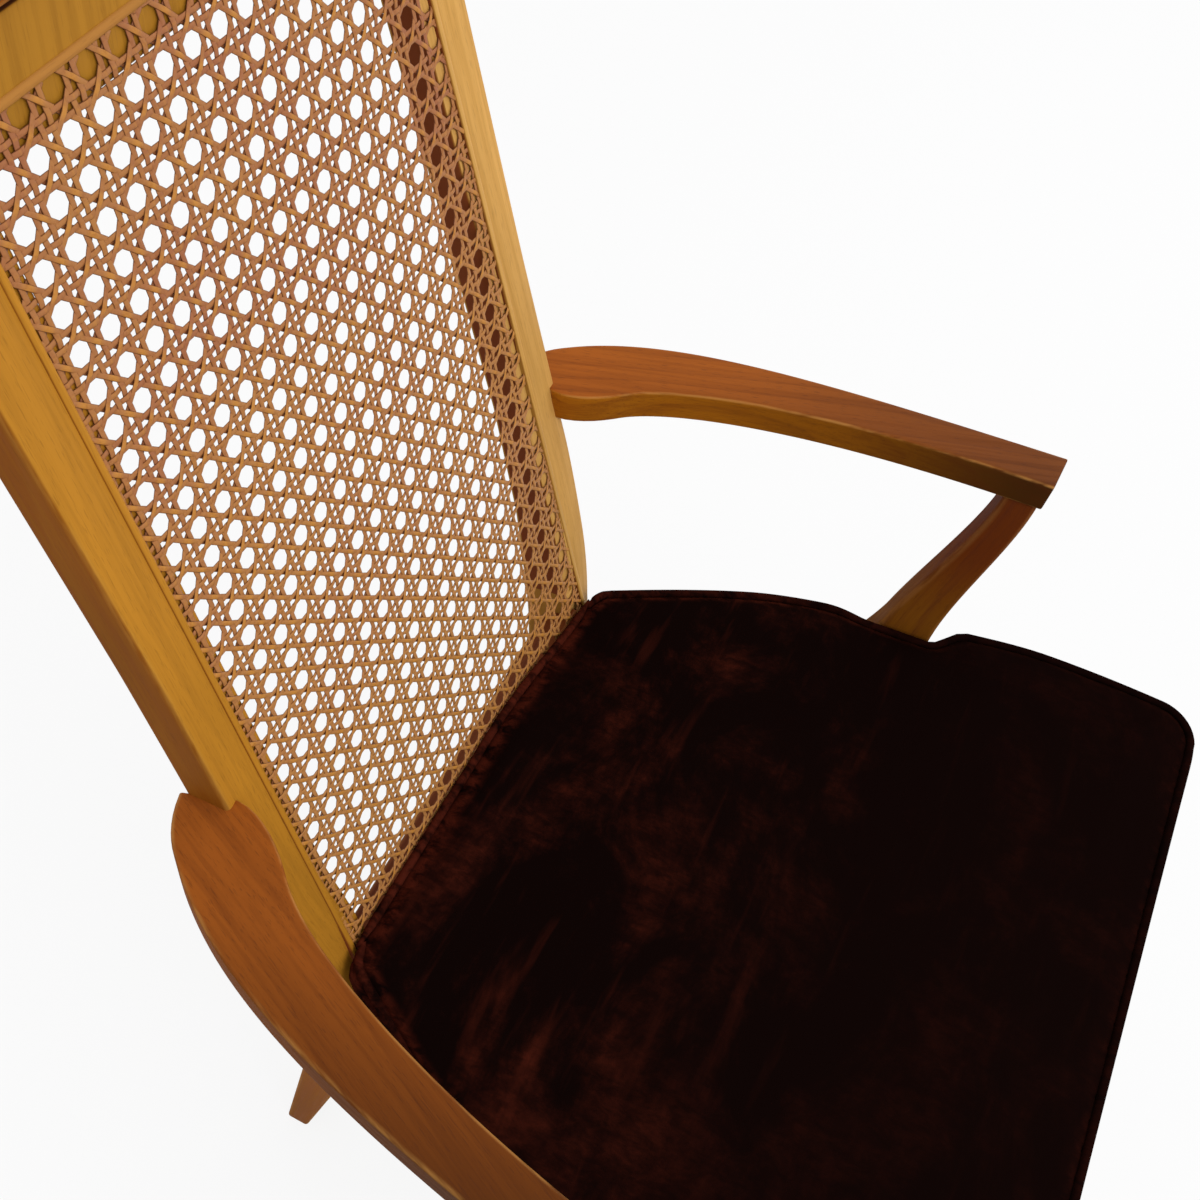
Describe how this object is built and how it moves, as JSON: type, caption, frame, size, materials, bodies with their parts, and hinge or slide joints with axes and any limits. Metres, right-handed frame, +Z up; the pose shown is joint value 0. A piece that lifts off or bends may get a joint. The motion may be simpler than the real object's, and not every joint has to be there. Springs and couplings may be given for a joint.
{
  "type": "dining armchair",
  "caption": "Wooden dining armchair with a raked woven-cane back panel, bowed open arms and a dark upholstered seat.",
  "frame": {"origin": "centre of the bounding box in plan, at floor level", "axes": "+X to the right of someone looking at the chair from the front, +Y towards the back, +Z up"},
  "size_m": [0.646, 0.6982, 1.0465],
  "materials": {
    "frame_wood": "golden brown stained hardwood, satin lacquer",
    "arm_wood": "red-brown stained hardwood, satin lacquer",
    "rail_wood": "brown stained hardwood, satin",
    "block_wood": "unfinished softwood",
    "dowel_wood": "plain beech",
    "plywood": "unfinished plywood",
    "cane": "woven natural cane, varnished",
    "spline": "reed spline, varnished",
    "velvet": "very dark brown crushed velvet",
    "dust_cloth": "black non-woven cloth",
    "screw_brass": "plain zinc-brass",
    "glide_plastic": "dark brown nylon"
  },
  "bodies": {
    "root": {"back_post_left": "frame_wood", "back_post_right": "frame_wood", "top_rail": "frame_wood", "front_leg_left": "frame_wood", "front_leg_right": "frame_wood", "arm_post_left": "frame_wood", "arm_post_right": "frame_wood", "arm_left": "arm_wood", "arm_right": "arm_wood", "crest_cap": "arm_wood", "lower_back_rail": "rail_wood", "seat_rail_front": "rail_wood", "seat_rail_back": "rail_wood", "seat_rail_left": "rail_wood", "seat_rail_right": "rail_wood", "corner_block_front_left": "block_wood", "corner_block_front_right": "block_wood", "corner_block_rear_left": "block_wood", "corner_block_rear_right": "block_wood", "seat_cleat": "block_wood", "seat_frame_dowels": "dowel_wood", "back_frame_dowels": "dowel_wood", "arm_dowels": "dowel_wood", "seat_board": "plywood", "cane_panel": "cane", "cane_spline_left": "spline", "cane_spline_right": "spline", "cane_spline_top": "spline", "cane_spline_bottom": "spline", "seat_pad": "velvet", "seat_welt": "velvet", "dust_cover": "dust_cloth", "arm_screws": "screw_brass", "arm_post_screws": "screw_brass", "block_screws": "screw_brass", "seat_board_screws": "screw_brass", "glide_front_left": "glide_plastic", "glide_front_right": "glide_plastic", "glide_rear_left": "glide_plastic", "glide_rear_right": "glide_plastic"}
  },
  "joints": []
}
